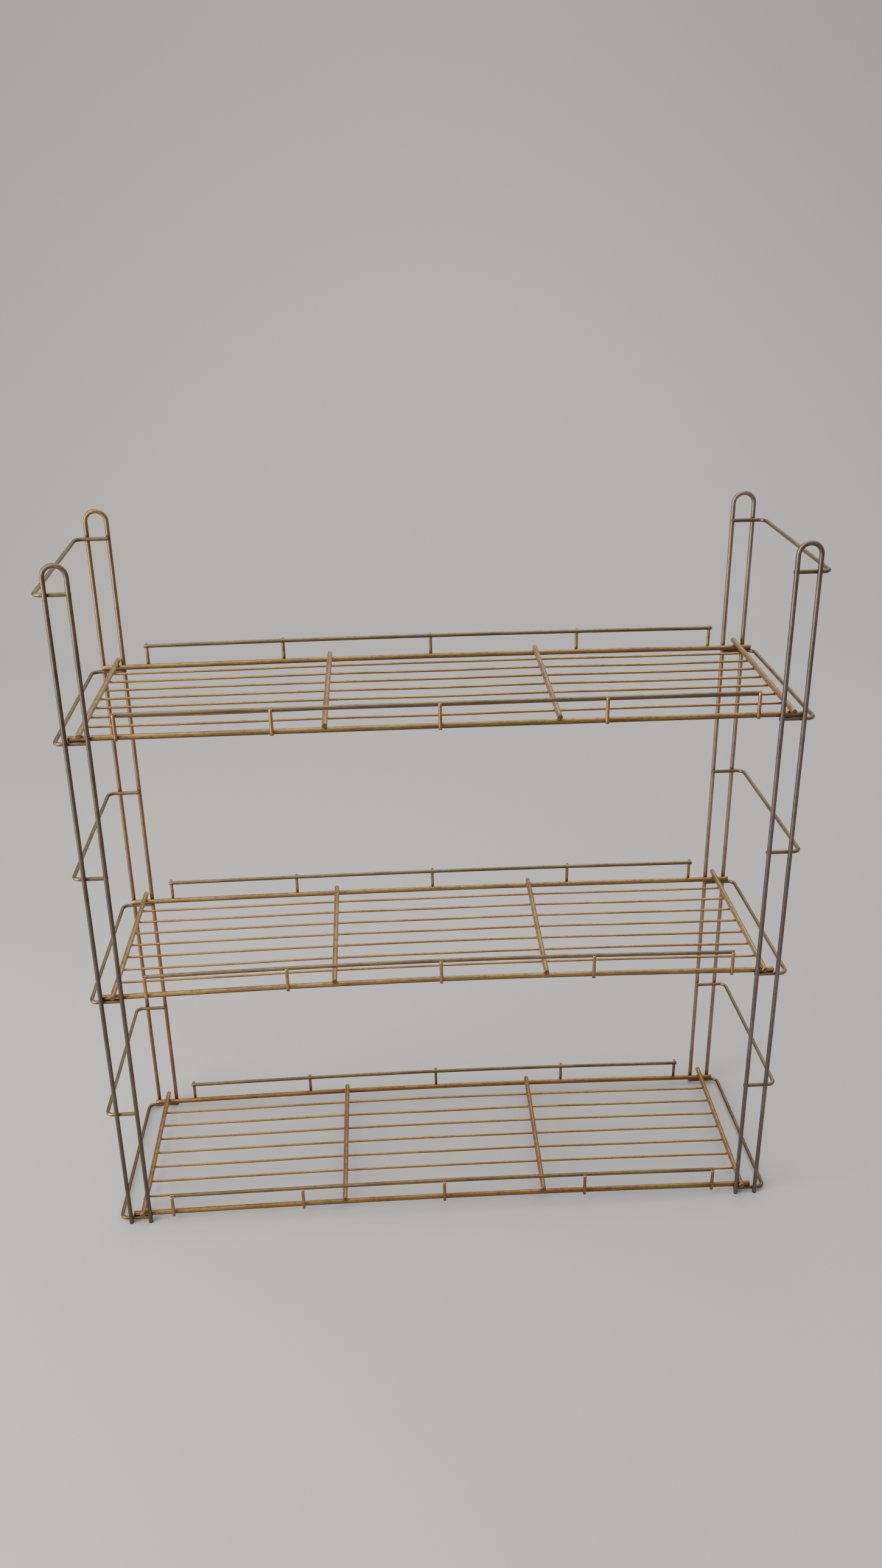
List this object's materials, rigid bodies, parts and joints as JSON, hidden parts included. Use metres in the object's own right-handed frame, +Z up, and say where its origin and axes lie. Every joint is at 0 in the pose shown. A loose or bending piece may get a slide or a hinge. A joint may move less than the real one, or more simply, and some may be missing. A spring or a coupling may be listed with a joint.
{
  "type": "tiered wire shelf rack",
  "caption": "Free-standing wire rack: two laddered side frames of bent hairpins hold lift-out slatted trays with guard rails.",
  "frame": {"origin": "on the floor, in the middle of the rack's footprint", "axes": "+X along the trays to the right, +Y from front to back, +Z up"},
  "size_m": [0.6234, 0.186, 0.652],
  "materials": {
    "hairpin_wire": "aged brass-plated steel wire, drawn, satin lacquer, browned",
    "rung_wire": "aged brass-plated steel wire, drawn, satin lacquer",
    "tray_wire": "brass-plated steel wire, drawn, satin lacquer, dull on the crossings",
    "slat_wire": "thin brass-plated steel wire, satin lacquer",
    "rail_wire": "brass-plated steel wire, satin lacquer, dark at the welds"
  },
  "bodies": {
    "side_frames": {"left_front_hairpin": "hairpin_wire", "left_rear_hairpin": "hairpin_wire", "right_front_hairpin": "hairpin_wire", "right_rear_hairpin": "hairpin_wire", "left_rung_1": "rung_wire", "left_rung_2": "rung_wire", "left_rung_3": "rung_wire", "left_rung_4": "rung_wire", "left_rung_5": "rung_wire", "left_rung_6": "rung_wire", "right_rung_1": "rung_wire", "right_rung_2": "rung_wire", "right_rung_3": "rung_wire", "right_rung_4": "rung_wire", "right_rung_5": "rung_wire", "right_rung_6": "rung_wire"},
    "bottom_tray": {"bottom_front_rod": "tray_wire", "bottom_rear_rod": "tray_wire", "bottom_left_end_rod": "tray_wire", "bottom_left_cross_rod": "tray_wire", "bottom_right_cross_rod": "tray_wire", "bottom_right_end_rod": "tray_wire", "bottom_slats": "slat_wire", "bottom_front_rail": "rail_wire", "bottom_rear_rail": "rail_wire", "bottom_front_posts": "rail_wire", "bottom_rear_posts": "rail_wire"},
    "middle_tray": {"middle_front_rod": "tray_wire", "middle_rear_rod": "tray_wire", "middle_left_end_rod": "tray_wire", "middle_left_cross_rod": "tray_wire", "middle_right_cross_rod": "tray_wire", "middle_right_end_rod": "tray_wire", "middle_slats": "slat_wire", "middle_front_rail": "rail_wire", "middle_rear_rail": "rail_wire", "middle_front_posts": "rail_wire", "middle_rear_posts": "rail_wire"},
    "top_tray": {"top_front_rod": "tray_wire", "top_rear_rod": "tray_wire", "top_left_end_rod": "tray_wire", "top_left_cross_rod": "tray_wire", "top_right_cross_rod": "tray_wire", "top_right_end_rod": "tray_wire", "top_slats": "slat_wire", "top_front_rail": "rail_wire", "top_rear_rail": "rail_wire", "top_front_posts": "rail_wire", "top_rear_posts": "rail_wire"}
  },
  "joints": [
    {"name": "bottom_tray_lift", "type": "slide", "parent": "side_frames", "child": "bottom_tray", "axis": [0, 0, 1], "range_m": [0, 0.111]},
    {"name": "middle_tray_lift", "type": "slide", "parent": "side_frames", "child": "middle_tray", "axis": [0, 0, 1], "range_m": [0, 0.111]},
    {"name": "top_tray_lift", "type": "slide", "parent": "side_frames", "child": "top_tray", "axis": [0, 0, 1], "range_m": [0, 0.111]}
  ]
}
